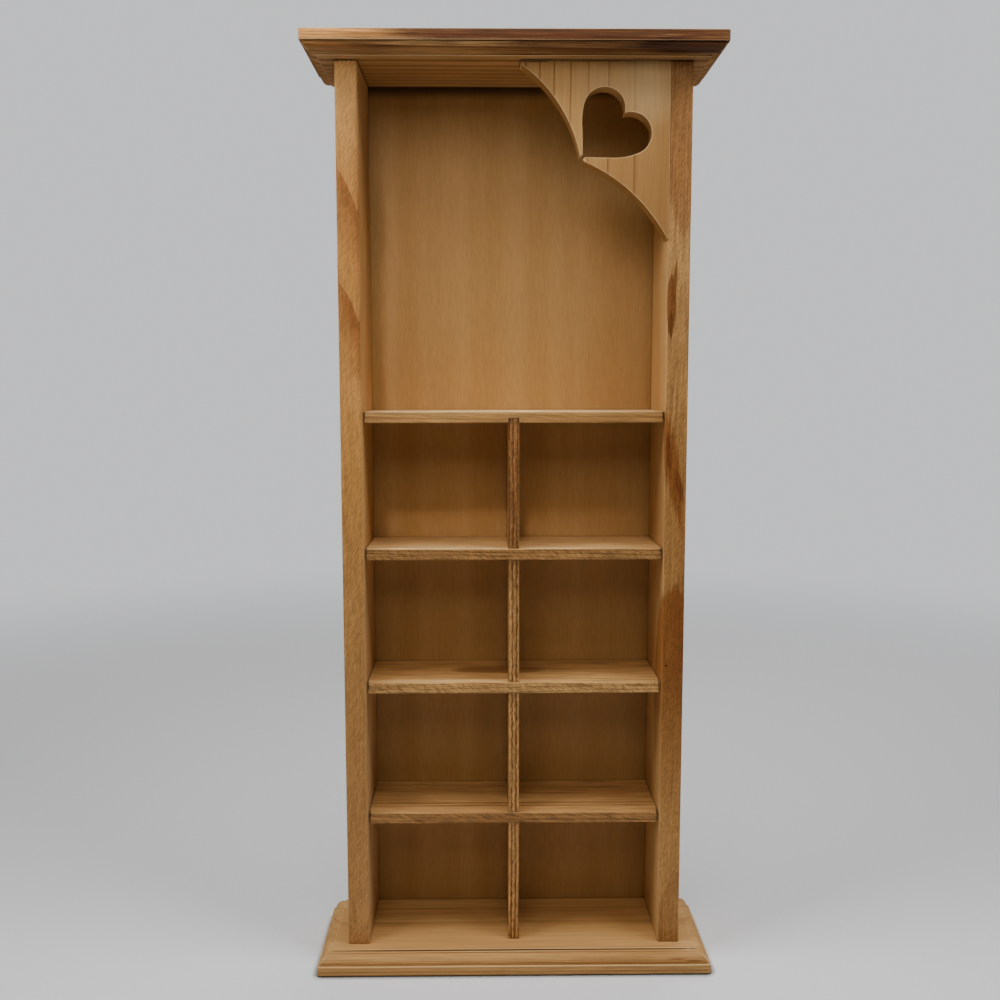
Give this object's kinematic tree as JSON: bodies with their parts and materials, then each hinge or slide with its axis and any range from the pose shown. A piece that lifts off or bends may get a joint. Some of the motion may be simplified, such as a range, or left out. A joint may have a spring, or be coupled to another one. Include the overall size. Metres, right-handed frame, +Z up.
{
  "type": "cubby wall shelf",
  "caption": "Pine wall shelf with a moulded top and base, a tall display bay with a heart-cut corner bracket, and divided cubby holes below it.",
  "frame": {"origin": "middle of the underside of the base, under the centre of the whole shelf", "axes": "+Z up along the uprights, +Y to the wall, so the open front faces -Y; +X to the right, the bracket's side"},
  "size_m": [0.2358, 0.077, 0.5443],
  "materials": {
    "moulded_pine": "clear satin varnish",
    "upright_pine": "clear satin varnish",
    "shelf_pine": "clear satin varnish",
    "bracket_pine": "clear satin varnish",
    "plywood": "clear satin varnish",
    "nail_steel": "dull bright wire"
  },
  "bodies": {
    "root": {"top_board": "moulded_pine", "base_board": "moulded_pine", "left_upright": "upright_pine", "right_upright": "upright_pine", "upper_shelf": "shelf_pine", "second_shelf": "shelf_pine", "third_shelf": "shelf_pine", "lowest_shelf": "shelf_pine", "centre_divider": "shelf_pine", "heart_bracket": "bracket_pine", "back_panel": "plywood", "top_nails": "nail_steel", "base_nails": "nail_steel", "divider_nails": "nail_steel", "left_shelf_nails": "nail_steel", "right_shelf_nails": "nail_steel", "bracket_top_nails": "nail_steel", "bracket_side_nails": "nail_steel", "back_panel_brads": "nail_steel"}
  },
  "joints": []
}
